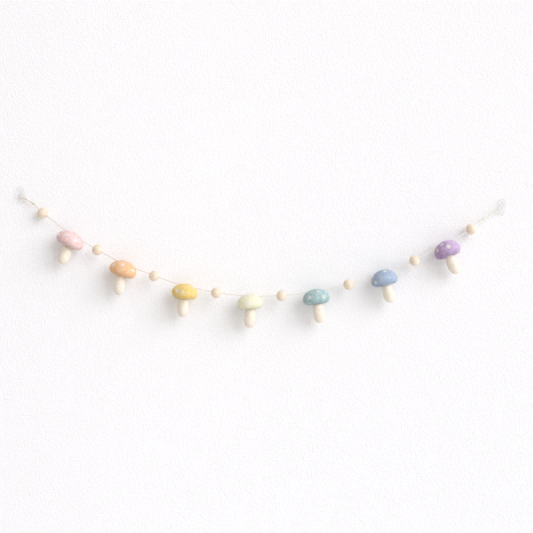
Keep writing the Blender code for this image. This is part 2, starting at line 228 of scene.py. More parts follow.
# Lengths in mm, angles in degrees, as the solids have them
Mushroom = namedtuple(
    "Mushroom",
    "name x z tilt width height side fold fold_depth arch"
    " stem_x stem_z lean stem_length stem_top stem_low bend",
)
MUSHROOMS = (
    Mushroom("pink", 77.0, -68.5, 26, 41.5, 24.5, 0.00, 0.78, 0.03, 1.0,
             74.0, -78.1, 22.5, 28.5, 15.0, 17.6, 0.4),
    Mushroom("orange", 156.6, -112.4, 16, 40.2, 26.0, 0.00, -0.62, 0.05, 1.5,
             153.1, -119.8, 7.6, 30.7, 14.8, 17.5, -0.5),
    Mushroom("yellow", 248.8, -146.6, 8, 38.6, 25.0, 0.01, 0.52, 0.05, 0.5,
             247.2, -156.7, 4.6, 27.3, 15.4, 16.8, 0.4),
    Mushroom("lime", 346.6, -161.9, -2, 38.2, 24.0, 0.00, 0.40, 0.00, 0.0,
             347.3, -172.4, 4.3, 28.0, 15.0, 16.6, 0.0),
    Mushroom("aqua", 445.9, -154.4, -7, 39.2, 24.4, -0.01, 0.30, 0.00, 0.5,
             448.2, -164.2, -8.8, 28.7, 15.0, 17.5, -0.4),
    Mushroom("blue", 547.7, -125.8, -14, 39.0, 26.0, 0.00, -0.76, 0.04, 0.5,
             551.0, -136.3, -16.5, 27.0, 14.8, 17.0, -0.3),
    Mushroom("purple", 641.9, -82.9, -21, 40.0, 26.5, 0.00, -0.76, 0.04, 2.5,
             645.3, -90.7, -23.5, 31.0, 14.4, 18.2, -0.6),
)

Hook = namedtuple("Hook", "name x z turn")
HOOKS = (Hook("left", 0.0, 0.0, -15.0), Hook("right", 726.9, -18.6, 3.0))

# Spots on the front of the caps, in mm: where the camera sees each middle on the plane of the
# string, its size across, and how strongly it stands out
SPOT_PLANE = -20.5 * MM
FRONT_SPOTS = {
    "pink": ((60.2, -60.8, 6.0, 0.9), (72.8, -60.1, 6.8, 0.72), (84.8, -68.9, 5.6, 1.0),
             (77.8, -64.7, 3.6, 0.35)),
    "orange": ((140.7, -106.3, 5.6, 0.9), (155.7, -105.1, 5.8, 1.0), (171.0, -114.1, 5.2, 1.0),
               (152.1, -101.0, 4.4, 0.6)),
    "yellow": ((237.3, -144.7, 6.0, 1.0), (245.6, -146.9, 5.4, 1.0), (254.6, -138.1, 4.0, 0.3),
               (261.2, -140.6, 4.2, 0.6), (235.0, -139.6, 3.6, 0.4)),
    "lime": ((344.3, -162.8, 5.2, 1.0), (338.8, -153.5, 4.0, 0.45), (354.6, -152.6, 4.0, 0.4),
             (329.5, -160.0, 4.4, 0.45)),
    "aqua": ((435.9, -154.4, 6.4, 1.0), (457.7, -154.0, 5.7, 1.0), (448.7, -145.1, 5.2, 0.9),
             (436.5, -163.6, 3.6, 0.8)),
    "blue": ((549.0, -115.1, 5.2, 0.95), (534.9, -132.2, 5.0, 1.0), (530.3, -130.1, 3.0, 0.4)),
    "purple": ((634.4, -75.1, 5.0, 0.95), (644.0, -77.8, 6.2, 1.0), (627.8, -84.2, 5.2, 1.0),
               (652.7, -73.0, 4.0, 0.6)),
}
# Spots round the back of every cap: turn and angle from the crown in degrees, and size in mm
BACK_SPOTS = ((60, 48, 5.8), (112, 66, 5.2), (152, 34, 5.0), (88, 84, 4.2))

# Tints of the wool, light and deep, and of the spots on it, its sheen, and how much painted shade
# deepens it at the left end of each cap, the side away from the light
Wool = namedtuple("Wool", "light deep spots sheen left")
CAP_WOOL = {
    "pink": Wool((0.90, 0.72, 0.71), (0.75, 0.45, 0.40), (0.84, 0.81, 0.81), 0.20, 0.20),
    "orange": Wool((0.91, 0.595, 0.37), (0.84, 0.44, 0.18), (0.80, 0.79, 0.77), 0.10, 0.10),
    "yellow": Wool((0.92, 0.71, 0.30), (0.78, 0.52, 0.10), (0.82, 0.80, 0.74), 0.06, 0.10),
    "lime": Wool((0.90, 0.90, 0.73), (0.80, 0.765, 0.51), (0.86, 0.86, 0.85), 0.06, 0.0),
    "aqua": Wool((0.51, 0.695, 0.705), (0.25, 0.39, 0.395), (0.79, 0.77, 0.70), 0.15, 0.35),
    "blue": Wool((0.50, 0.61, 0.75), (0.25, 0.335, 0.485), (0.80, 0.78, 0.71), 0.15, 0.35),
    "purple": Wool((0.75, 0.60, 0.85), (0.38, 0.22, 0.43), (0.80, 0.765, 0.71), 0.20, 1.2),
}
STEM_WOOL = Wool((0.95, 0.885, 0.785), (0.82, 0.71, 0.56), None, 0.08, 0.0)

# Tints of the other finishes
# The groove tint is painted shade in the grooves between the plies
COTTON_GROOVE_SHADE = (0.58, 0.465, 0.345)
COTTON_CROWN = (0.86, 0.785, 0.68)
COTTON_PALE = (0.92, 0.895, 0.81)
FIBRE_WHITE = (1.0, 0.99, 0.97)
BEECH_DEEP = (0.76, 0.61, 0.46)
BEECH_PALE = (0.89, 0.785, 0.66)
BEECH_PORE = (0.64, 0.47, 0.32)
CLEAR_FACE = (0.84, 0.845, 0.85)
CLEAR_EDGE = (0.64, 0.645, 0.655)
WALL_DIM = (0.915, 0.914, 0.924)
WALL_PALE = (0.935, 0.934, 0.944)
# Painted shade: the wall greyer to the right, evening out the brighter light there
WALL_RIGHT_SHADE = (0.865, 0.863, 0.871)
FLOOR_DIM = (0.80, 0.795, 0.785)
FLOOR_PALE = (0.85, 0.845, 0.835)

# The lamps' places and aims and sides in metres, power in watts and tint, and the room's tints
Lamp = namedtuple("Lamp", "name at towards side power tint")
LAMPS = (
    Lamp("window", (6.57, -6.00, 4.15), (0.37, 0.0, -0.10), 7.75, 680.0, (0.93, 0.945, 1.0)),
    Lamp("window_edge", (3.20, -0.85, 0.45), (0.45, 0.0, -0.10), 1.2, 10.5, (1.0, 0.985, 0.97)),
)
ROOM_DIM = (0.81, 0.71, 0.625)
ROOM_BRIGHT = (1.0, 0.99, 0.985)
ROOM_BRIGHT_WAY = (0.55, 0.0, 0.83)
ROOM_STRENGTH = 0.65


# Camera and pieces in general

def make_camera():
    """The camera straight in front of the wall, at the photograph's distance and framing."""
    data = bpy.data.cameras.new("photo_camera")
    data.sensor_width = 36.0
    data.lens = CAMERA_LENS
    camera = bpy.data.objects.new("photo_camera", data)
    camera.location = CAMERA_AT
    camera.rotation_euler = (math.pi / 2, 0.0, 0.0)
    bpy.context.scene.collection.objects.link(camera)
    bpy.context.scene.camera = camera


def mesh_object(name, points, faces, material, uv=None, **attributes):
    """An object from arrays: points (n, 3), faces a list of arrays of 3 or 4 corners a row, uv
    one list like faces with two numbers a corner, attributes one number or three a point.

    All faces are turned round if the volume they enclose, the sum of p0 . (p1 x p2) / 6 over
    their corners, is negative.
    """
    corner = [points[f] for f in faces]
    volume = sum(np.einsum("ij,ij", c[:, 0], np.cross(c[:, 1], c[:, 2])) for c in corner)
    volume += sum(
        np.einsum("ij,ij", c[:, 0], np.cross(c[:, 2], c[:, 3])) for c in corner if c.shape[1] == 4
    )
    if volume < 0:
        faces = [f[:, ::-1] for f in faces]
        uv = uv and [u[:, ::-1] for u in uv]
    mesh = bpy.data.meshes.new(name)
    corners = np.concatenate([f.ravel() for f in faces])
    sizes = np.concatenate([np.full(len(f), f.shape[1]) for f in faces])
    mesh.vertices.add(len(points))
    mesh.vertices.foreach_set("co", np.ascontiguousarray(points, np.float32).ravel())
    mesh.loops.add(len(corners))
    mesh.loops.foreach_set("vertex_index", corners.astype(np.int32))
    mesh.polygons.add(len(sizes))
    mesh.polygons.foreach_set("loop_start", (np.cumsum(sizes) - sizes).astype(np.int32))
    if uv:
        layer = mesh.uv_layers.new(name="surface")
        flat = np.concatenate([u.reshape(-1, 2) for u in uv])
        layer.uv.foreach_set("vector", flat.astype(np.float32).ravel())
    for key, values in attributes.items():
        kind = "FLOAT" if values.size == len(points) else "FLOAT_VECTOR"
        field = "value" if kind == "FLOAT" else "vector"
        made = mesh.attributes.new(key, kind, "POINT")
        made.data.foreach_set(field, np.ascontiguousarray(values, np.float32).ravel())
    mesh.update(calc_edges=True)
    mesh.validate()
    mesh.shade_smooth()
    mesh.materials.append(material)
    obj = bpy.data.objects.new(name, mesh)
    bpy.context.scene.collection.objects.link(obj)
    return obj


def skin(name, grid, material, along=None, ring=False, **attributes):
    """A closed skin over a grid of points, whose rows are rings.

    Each ring is joined to the next. A point at the middle of the first and the last ring closes
    the ends or, with ring, the last ring is joined to the first. u runs once round each ring, and
    v is along, one number a ring. attributes have a value for each point of the grid.
    """
    rows, sides = grid.shape[:2]
    along = np.linspace(0, 1, rows) if along is None else along
    index = np.arange(rows * sides).reshape(rows, sides)
    u = np.arange(sides) / sides
    if ring:
        index = np.concatenate([index, index[:1]])
        along = np.append(along, 2 * along[-1] - along[-2])
    after = np.roll(index, -1, axis=1)
    quads = np.stack([index[:-1], after[:-1], after[1:], index[1:]], axis=2).reshape(-1, 4)
    left, right = np.meshgrid(u, along[:-1]), np.meshgrid(u + 1 / sides, along[1:])
    corners = [(left[0], left[1]), (right[0], left[1]), (right[0], right[1]), (left[0], right[1])]
    quad_uv = np.stack([np.stack(c, axis=2) for c in corners], axis=2).reshape(-1, 4, 2)
    points = grid.reshape(-1, 3)
    faces, uv = [quads], [quad_uv]
    values = {key: value.reshape(rows * sides, -1) for key, value in attributes.items()}
    if not ring:
        points = np.concatenate([points, grid[[0, -1]].mean(axis=1)])
        for key, value in values.items():
            ends = value.reshape(rows, sides, -1)[[0, -1]].mean(axis=1)
            values[key] = np.concatenate([value, ends])
        for row, tip, order in ((0, rows * sides, -1), (-1, rows * sides + 1, 1)):
            pair = np.stack([index[row], after[row]], axis=1)[:, ::order]
            faces.append(np.concatenate([pair, np.full((sides, 1), tip)], axis=1))
            spread = np.stack([u, u + 1 / sides], axis=1)[:, ::order]
            at = np.concatenate([spread, u[:, None] + 0.5 / sides], axis=1)
            uv.append(np.stack([at, np.full_like(at, along[row])], axis=2))
    return mesh_object(name, points, faces, material, uv, **values)


def part_of(obj, slot, *nodes):
    """The piece rides on the one body and stands for its solids, which are hidden; slot is not
    used.
    """
    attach(obj, "root")
    if nodes:
        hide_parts(*nodes)
    return obj


# Shapes

def unit(vectors):
    return vectors / np.linalg.norm(vectors, axis=-1, keepdims=True)


def full_turn(count):
    """This many angles evenly spaced round a full turn, in radians."""
    return np.linspace(0, 2 * math.pi, count, endpoint=False)


def turned_in_wall(points, x, z, turn):
    """Points turned in the plane of the wall, right side down by turn degrees, and moved to x, z
    in mm."""
    c, s = math.cos(math.radians(turn)), math.sin(math.radians(turn))
    px, py, pz = np.moveaxis(points, -1, 0)
    return np.stack([px * c + pz * s + x * MM, py, pz * c - px * s + z * MM], axis=-1)


def normals_of(grid):
    """Unit normals of rings of points, outwards from the middle: the difference round the ring
    crossed with the difference between rings."""
    between = np.gradient(grid, axis=0)
    around = np.roll(grid, -1, axis=1) - np.roll(grid, 1, axis=1)
    normal = np.cross(around, between)
    normal /= np.maximum(np.linalg.norm(normal, axis=2, keepdims=True), 1e-15)
    outwards = np.einsum("ijk,ijk", normal, grid - grid.mean(axis=(0, 1)))
    return normal if outwards > 0 else -normal


def lumps(points, size, seed):
    """Smooth random heights from -1 to 1: random numbers on a lattice with this spacing, blended
    between its corners by 3t^2 - 2t^3 along each axis."""
    lattice = np.random.default_rng(seed).uniform(-1, 1, (32, 32, 32))
    at = points / size
    low = np.floor(at).astype(int)
    t = at - low
    t = t * t * (3 - 2 * t)
    total = 0.0
    for corner in product((0, 1), repeat=3):
        weight = np.prod(np.where(corner, t, 1 - t), axis=-1)
        i, j, k = np.moveaxis((low + corner) % 32, -1, 0)
        total = total + weight * lattice[i, j, k]
    return total


def relief(points, layers, number):
    """The sum of these layers of lumps, in mm, with seeds of its own for each number."""
    return sum(rise * lumps(points, size * MM, seed + number) for rise, size, seed in layers)


def spline(route, count):
    """count points evenly spaced along the natural cubic spline through the route's points, whose
    parameter is the straight distance from point to point."""
    route = np.array(route, float)
    step = np.linalg.norm(np.diff(route[:, :3], axis=0), axis=1)
    knots = np.concatenate([[0.0], np.cumsum(step)])
    size = len(route)
    matrix = np.eye(size)
    inner = np.arange(1, size - 1)
    matrix[inner, inner - 1] = step[:-1]
    matrix[inner, inner] = 2 * (step[:-1] + step[1:])
    matrix[inner, inner + 1] = step[1:]
    slope = np.diff(route, axis=0) / step[:, None]
    right = np.zeros_like(route)
    right[1:-1] = 6 * np.diff(slope, axis=0)
    second = np.linalg.solve(matrix, right)
    at = np.linspace(0, knots[-1], 20 * size + 4 * count)
    i = np.clip(np.searchsorted(knots, at) - 1, 0, size - 2)
    a = ((knots[i + 1] - at) / step[i])[:, None]
    b = 1 - a
    bulge = (a**3 - a) * second[i] + (b**3 - b) * second[i + 1]
    dense = a * route[i] + b * route[i + 1] + bulge * (step[i] ** 2 / 6)[:, None]
    run = np.linalg.norm(np.diff(dense[:, :3], axis=0), axis=1)
    along = np.concatenate([[0.0], np.cumsum(run)])
    even = np.linspace(0, along[-1], count)
    return np.stack([np.interp(even, along, column) for column in dense.T], axis=1)


def arc_length(line):
    """Distance along a line of points, from its start."""
    return np.concatenate([[0.0], np.cumsum(np.linalg.norm(np.diff(line, axis=0), axis=1))])


def at_x(x, line, values):
    """The values, one row a point of the line, where the line passes this x."""
    return np.array([np.interp(x, line[:, 0], column) for column in values.T])


def cut(line, length):
    """The line without this length at each end, with as many points as before."""
    along = arc_length(line)
    at = np.linspace(length, along[-1] - length, len(line))
    return np.stack([np.interp(at, along, column) for column in line.T], axis=1)


def rings_along(line, beside, radius):
    """Rings of points round a line. The first direction of each ring is the line's direction
    crossed with beside, the second is the line's direction crossed with the first, and radius has
    one number for each point of each ring."""
    ahead = unit(np.gradient(line, axis=0))
    first = unit(np.cross(ahead, beside))
    second = np.cross(ahead, first)
    turn = np.arange(radius.shape[1]) / radius.shape[1] * 2 * math.pi
    flat = first[:, None] * np.cos(turn)[None, :, None]
    flat = flat + second[:, None] * np.sin(turn)[None, :, None]
    return line[:, None] + flat * radius[:, :, None]


# String, loops and knots

def twisted(line, beside, thickness, ends):
    """Rings and crown heights of a three-ply string along the line.

    The radius is R (1 - g (1 - |cos 1.5 (turn - 2 pi s / pitch)|)), three lobes that turn once
    round in each pitch. It is rounded off over a length of ends times the thickness at each end.
    """
    along = arc_length(line)
    turn = np.arange(STRING_SIDES) / STRING_SIDES * 2 * math.pi
    lobe = np.abs(np.cos(1.5 * (turn[None] - 2 * math.pi * along[:, None] / STRING_PITCH)))
    radius = thickness / 2 * (1 - STRING_GROOVE * (1 - lobe))
    to_end = np.minimum(along, along[-1] - along) / (ends * thickness)
    radius = radius * np.sqrt(np.clip(1 - (1 - np.minimum(to_end, 1)) ** 2, 0.04, 1))[:, None]
    return rings_along(line, beside, radius), lobe


def string_piece(name, line, beside=INTO_WALL, thickness=STRING_D, ends=STRING_END_ROUND):
    """One stretch of string as a closed twisted tube."""
    grid, lobe = twisted(line, beside, thickness, ends)
    obj = skin(name + "_cotton", grid, cotton, along=arc_length(line), crown=lobe)
    return part_of(obj, "string_cotton", name)


def string_line():
    """The string's middle line from knot to knot, in metres."""
    return spline(np.array(STRING_ROUTE) * MM, STRING_POINTS)


def loop_line(hook, knot_at):
    """One end loop's middle line: from the knot along a strand, round under the arm, and back.

    The two strands wind once loosely about each other: each lies on the other side of their
    common line, at the table's distance and turn.
    """
    turn = math.radians(hook.turn)
    arm = np.array([
        hook.x * MM + math.sin(turn) * ARM_Z,
        TROUGH_Y,
        hook.z * MM + math.cos(turn) * ARM_Z,
    ])
    away = knot_at - arm
    reach = np.linalg.norm(away) - KNOT_LENGTH / 2 + INTO_KNOT
    away = unit(away)
    aside = unit(np.cross(INTO_WALL, away))
    share, apart, half, wind = np.array(LOOP_STRAND).T
    out = share * reach + apart * MM
    wind = np.radians(wind)
    flat = np.stack([out, half * np.cos(wind) * MM, half * np.sin(wind) * MM], axis=1)
    turns = np.radians(WRAP_TURNS)
    wrap = np.stack([WRAP_R * np.cos(turns), WRAP_R * np.sin(turns), 0 * turns], axis=1)
    route = np.concatenate([flat, wrap, flat[::-1] * (1, -1, -1)])
    return spline(arm + route @ np.array([away, aside, (0.0, -1.0, 0.0)]), LOOP_POINTS)


def knot_piece(name, centre, direction):
    """A small tight knot: string wound three times round the line.

    The winding is a helix whose radius is R (1 - 0.75 t^4) along t from -1 to 1, with a wave
    along it, once in each turn, that lets one turn ride over the next.
    """
    ahead = unit(direction)
    first = unit(np.cross(ahead, INTO_WALL))
    second = np.cross(ahead, first)
    t = np.linspace(-1, 1, KNOT_POINTS)
    turn = math.pi * KNOT_TURNS * t
    out = KNOT_R * (1 - 0.75 * t**4)
    along = t * (KNOT_LENGTH - KNOT_STRING_D) / 2 + KNOT_WAVE * np.sin(turn + 0.6)
    helix = (
        centre
        + ahead * along[:, None]
        + first * (out * np.cos(turn))[:, None]
        + second * (out * np.sin(turn))[:, None]
    )
    return string_piece(name, helix, ahead, KNOT_STRING_D, KNOT_END_ROUND)


# Caps and stems

def rings_and_sides(sides, rings):
    """The turn of each side round the upright axis and each ring's angle down from the crown."""
    down = np.linspace(FIRST_RING, math.pi - FIRST_RING, rings)
    return full_turn(sides)[None], down[:, None]


def cap_grid(row, number, turn, down):
    """The cap's surface, with Z up through the crown.

    Out from the middle: R sin(down) on the dome, R sin(down)^0.72 on the rolled rim below it.
    Height: the equator's plus rise cos(down) or drop cos(down), and a hollow 1 - (r / 0.8 R)^2
    under the middle. Waves of 2, 3 and 5 to the turn, a skew, an arch in the front of the rim and
    a trough exp(-((x / R - fold) / 0.16)^2) across X make it uneven.
    """
    radius = row.width * MM / 2
    height = row.height * MM
    drop = CAP_EQUATOR * height
    rise = height - drop
    across = np.sin(down)
    up = np.cos(down)
    out = radius * np.where(up >= 0, across, across**CAP_RIM_POWER)
    inward = np.maximum(0, 1 - (out / (CAP_HOLLOW_SHARE * radius)) ** 2)
    level = drop - height / 2 + np.where(up >= 0, rise * up, drop * up + CAP_HOLLOW * inward)
    wave = sum(share * np.cos(n * turn + step * number) for n, share, step in CAP_WAVES)
    out = out * (1 + across * (wave + row.side * np.cos(turn)))
    level = level + CAP_SKEW * across * np.sin(2 * turn + 0.9 * number)
    front = np.maximum(0, -np.sin(turn))
    level = level + row.arch * MM * front**4 * across * np.maximum(0, ARCH_FROM - up)
    x = out * np.cos(turn)
    y = out * np.sin(turn) * CAP_DEPTH_SHARE
    trough = row.fold_depth * np.exp(-(((x / radius - row.fold) / CAP_FOLD_WIDTH) ** 2))
    return np.stack([x, y, level], axis=-1) * (1 - trough)[..., None]


def stem_grid(row, turn, down):
    """The stem's surface below the point where it meets the cap, with Z up along it.

    Its outline is (1 - |a|^n)^(1/n) along a from -1 to 1, with n 6 at the top and 2.5 at the
    foot, times a width that eases from the top's to the foot's, and it bows by a half sine.
    """
    length = row.stem_length * MM + STEM_SUNK
    along = -np.cos(down)
    power = np.where(along < 0, STEM_TOP_SQUARENESS, STEM_FOOT_SQUARENESS)
    full = (1 - np.abs(along) ** power) ** (1 / power)
    share = np.minimum(1, (along + 1) / 2 / STEM_FULL_AT)
    width = row.stem_top + (row.stem_low - row.stem_top) * share**2 * (3 - 2 * share)
    out = full * width * MM / 2
    bow = row.bend * MM * np.sin(math.pi * (along + 1) / 2)
    level = STEM_SUNK - length / 2 - along * length / 2 + 0 * turn
    return np.stack([out * np.cos(turn) + bow, out * np.sin(turn), level], axis=-1)


def distances(points, line):
    """Each point's distance to the nearest point of the line."""
    flat = points.reshape(-1, 3)
    squares = (flat**2).sum(1)[:, None] - 2 * flat @ line.T + (line**2).sum(1)[None]
    return np.sqrt(np.maximum(squares.min(axis=1), 0)).reshape(points.shape[:-1])


def socket(grid, row, middle_y, below):
    """The cap's underside pressed up to take the stem: inside the stem's width its points rise
    along the stem to the height of the stem's top end, with the gap all round."""
    c, s = math.cos(math.radians(row.lean)), math.sin(math.radians(row.lean))
    away = grid - np.array([row.stem_x * MM, middle_y, row.stem_z * MM])
    side = away[..., 0] * c - away[..., 2] * s
    rise = away[..., 0] * s + away[..., 2] * c
    r = np.hypot(side, away[..., 1]) / (row.stem_top * MM / 2 + 2 * GAP)
    half = (row.stem_length * MM + STEM_SUNK) / 2
    top = STEM_SUNK - half + (half + GAP) * (1 - np.minimum(r, 1) ** 6) ** (1 / 6)
    lift = np.where(below & (r < 1), np.maximum(0, top - rise), 0)
    return grid + lift[..., None] * np.array([s, 0.0, c])


def spot_field(row, number, grid, normal, turn, down):
    """For each point the distance in mm to the edge of the nearest spot, less than nothing
    inside, and how strongly that spot shows.

    A front spot's middle is the point of the front surface that the camera sees nearest to the
    spot's place on the plane of the string. Lumps make its edge uneven.
    """
    camera = np.array(CAMERA_AT)
    ray = grid - camera
    seen = camera + ray * ((SPOT_PLANE - camera[1]) / ray[..., 1])[..., None]
    hidden = np.where(np.einsum("ijk,ijk->ij", normal, ray) > 0, 1.0, 0.0)
    ragged = relief(grid, SPOT_EDGE_LUMPS, number)
    nearest = np.full(grid.shape[:2], 30.0)
    strength = np.zeros(grid.shape[:2])
    middles = []
    for x, z, size, shows in FRONT_SPOTS[row.name]:
        miss = np.hypot(seen[..., 0] - x * MM, seen[..., 2] - z * MM) + hidden
        middles.append((grid[np.unravel_index(miss.argmin(), miss.shape)], size, shows))
    for turned, from_top, size in BACK_SPOTS:
        turned = turned + 11 * number % 17
        miss = np.hypot(turn - math.radians(turned), down - math.radians(from_top))
        middles.append((grid[np.unravel_index(miss.argmin(), miss.shape)], size, 1.0))
    for middle, size, shows in middles:
        edge = np.linalg.norm(grid - middle, axis=-1) / MM - size / 2 + ragged
        strength = np.where(edge < nearest, shows, strength)
        nearest = np.minimum(edge, nearest)
    return nearest, strength


def felt_cap(row, number, line):
    """One cap: its form, the felt's lumps, a socket for the stem, a pucker where the string goes
    in on each side, and spots that swell a little inside a fine dent.

    At r mm from the string the pucker goes as exp(-(r / 1.25)^2) and its lip as
    exp(-(r - 2.6)^2). The attribute firm, which deepens the wool's tint as painted shade,
    grows under the rim and towards the left end, the side away from the light.
    """
    turn, down = rings_and_sides(CAP_SIDES, CAP_RINGS)
    middle_y = at_x(row.x * MM, line, line)[1]
    grid = turned_in_wall(cap_grid(row, number, turn, down), row.x, row.z, row.tilt)
    grid[..., 1] += middle_y
    normal = normals_of(grid)
    edge, strength = spot_field(row, number, grid, normal, turn, down)
    swell = SPOT_SWELL / (1 + np.exp(edge / SPOT_EASE))
    dent = SPOT_DENT * np.exp(-((edge / SPOT_DENT_WIDTH) ** 2))
    height = relief(grid, CAP_LUMPS, number) + strength * (swell - dent)
    from_string = distances(grid, line[::4]) / MM
    height -= PUCKER_DEPTH * np.exp(-((from_string / PUCKER_R) ** 2))
    height += LIP_HEIGHT * np.exp(-((from_string - LIP_R) ** 2))
    grid = grid + normal * (height * MM)[..., None]
    grid[..., 1] = np.minimum(grid[..., 1], -WALL_GAP)
    grid = socket(grid, row, middle_y, np.broadcast_to(down > SOCKET_FROM, height.shape))
    name = f"cap_{row.name}"
    # painted shade: a deeper tint on each cap's left side, away from the light, and under its rim
    shaded_side = np.clip(0.5 - 0.7 * np.cos(turn) * np.sin(down), 0, 1)
    firm = CAP_PAINTED_SHADE * np.clip(down - PAINTED_SHADE_FROM, 0, 1) ** 1.5
    firm = firm + CAP_WOOL[row.name].left * shaded_side
    obj = skin(name + "_felt", grid, felt[row.name], spot=edge, spot_strength=strength, firm=firm)
    part_of(obj, f"felt_{row.name}", name)
    outside = np.broadcast_to(np.sin(down) * (down < BARE_FROM), height.shape)
    fuzz(f"fuzz_{row.name}", grid, normal, outside, CAP_FUZZ, number, felt[row.name],
         f"felt_{row.name}", edge, strength)


def felt_stem(row, number, line):
    """One stem: its form and the felt's lumps, which are shallow near the cap. Its wool is darkened
    by painted shade in the last 2 mm below the cap."""
    turn, down = rings_and_sides(STEM_SIDES, STEM_RINGS)
    middle_y = at_x(row.x * MM, line, line)[1]
    own = stem_grid(row, turn, down)
    grid = turned_in_wall(own, row.stem_x, row.stem_z, row.lean)
    grid[..., 1] += middle_y
    normal = normals_of(grid)
    free = np.clip((2 * MM - own[..., 2]) / (6 * MM), 0, 1)
    height = relief(grid, STEM_LUMPS, number)
    grid = grid + normal * (height * free * MM)[..., None]
    name = f"stem_{row.name}"
    # painted shade from the cap, darkening the top of the stem just below it
    firm = np.clip(own[..., 2] / (2 * MM) + 1, 0, 1.3)
    obj = skin(name + "_felt", grid, stem_felt, firm=firm)
    part_of(obj, "felt_cream", name)
    outside = np.sin(down) * (own[..., 2] < -1.0 * MM)
    fuzz(f"fuzz_stem_{row.name}", grid, normal, outside, STEM_FUZZ, 200 + number, stem_felt,
         "felt_cream")


def fuzz(name, grid, normal, weight, count, seed, material, slot, edge=None, strength=None):
    """Loose ends of wool that stand out of the felt, all in one mesh.

    Each is a three-sided spike through root, root + L d / 2 and root + L (d + c / 2), where d
    leans from the normal by a random vector and c is a random curl that droops a little. The
    roots are drawn in proportion to weight, and spikes that would reach the wall stop short of it.
    """
    rng = np.random.default_rng(1000 + seed)
    share = (weight / weight.sum()).ravel()
    pick = rng.choice(share.size, count, p=share)
    root = grid.reshape(-1, 3)[pick] + rng.normal(0, FUZZ_SPREAD * MM, (count, 3))
    out = normal.reshape(-1, 3)[pick]
    lean = out * rng.uniform(*FUZZ_OUT, (count, 1)) + rng.normal(0, FUZZ_ASIDE, (count, 3))
    short_of = np.minimum(FUZZ_LEAST_OUT, np.einsum("ij,ij->i", lean, out))[:, None]
    lean = lean + out * (FUZZ_LEAST_OUT - short_of)
    length = rng.uniform(*FUZZ_LENGTH, (count, 1)) * MM
    middle = root + lean * length * 0.5
    curl = rng.normal(0, FUZZ_CURL, (count, 3)) - out * FUZZ_DROOP
    tip = middle + (lean + curl) * length * 0.5
    side = unit(np.cross(lean, rng.normal(0, 1, (count, 3))))
    other = unit(np.cross(lean, side))
    third = 2 * math.pi / 3
    around = [side * math.cos(k * third) + other * math.sin(k * third) for k in range(3)]
    base = [root - out * FUZZ_SUNK * MM + a * FUZZ_ROOT_R * MM for a in around]
    waist = [middle + a * FUZZ_HALFWAY_R * MM for a in around]
    points = np.stack(base + waist + [tip], axis=1).reshape(-1, 3)
    points[:, 1] = np.minimum(points[:, 1], -WALL_GAP)
    first = (np.arange(count) * 7)[:, None]
    quads = np.concatenate([first + [[k, (k + 1) % 3, 3 + (k + 1) % 3, 3 + k]] for k in range(3)])
    tips = np.concatenate([first + [[3 + k, 3 + (k + 1) % 3, 6]] for k in range(3)])
    roots = first + [[2, 1, 0]]
    values = {}
    if edge is not None:
        values = {
            "spot": np.repeat(edge.ravel()[pick], 7),
            "spot_strength": np.repeat(strength.ravel()[pick], 7),
        }
    part_of(mesh_object(name, points, [quads, tips, roots], material, **values), slot)


# Beads and hooks

def wooden_bead(number, line):
    """One bead: a ball with flat drilled ends and a bore, turned round the string's direction.

    The half-section goes over the ball, round each mouth's eased edge and back along the bore.
    The attribute grain is the place in the bead's own axes, in mm.
    """
    x = BEAD_X[number - 1] * MM
    centre = at_x(x, line, line)
    ahead = unit(at_x(x, line, np.gradient(line, axis=0)))
    below = np.array((0.0, 0.0, -1.0))
    below = unit(below - ahead * (below @ ahead))
    centre = centre + below * ((BEAD_BORE_D - STRING_D) / 2 - GAP)
    half, bore = BEAD_LENGTH / 2, BEAD_BORE_D / 2
    flat = math.acos(half / (BEAD_ROUND_LENGTH / 2))
    down = np.linspace(flat, math.pi - flat, BALL_RINGS)
    ease = np.linspace(0, math.pi / 2, MOUTH_RINGS)
    ball_out, ball_along = BEAD_D / 2 * np.sin(down), BEAD_ROUND_LENGTH / 2 * np.cos(down)
    mouth_out = bore + BEAD_MOUTH * (1 - np.sin(ease))
    mouth_along = half - BEAD_MOUTH * (1 - np.cos(ease))
    inside = np.linspace(1, -1, BORE_RINGS + 2)[1:-1] * (half - BEAD_MOUTH)
    out = np.concatenate([ball_out, mouth_out, 0 * inside + bore, mouth_out[::-1]])
    along = np.concatenate([ball_along, -mouth_along, -inside, mouth_along[::-1]])
    turn = full_turn(BEAD_SIDES)
    side = np.cross(below, ahead)
    grid = (
        centre
        + (out[:, None] * np.cos(turn))[..., None] * side
        + (out[:, None] * np.sin(turn))[..., None] * below
        + along[:, None, None] * ahead
    )
    roll = 2.1 * number
    across = out[:, None] * np.cos(turn + roll) + 3 * number * MM
    depth = out[:, None] * np.sin(turn + roll)
    grain = np.stack([across, depth, np.broadcast_to(along[:, None], across.shape)], axis=-1) / MM
    mesh = skin(f"bead_{number}_wood", grid, wood, ring=True, grain=grain)
    part_of(mesh, "bead_wood", f"bead_{number}")


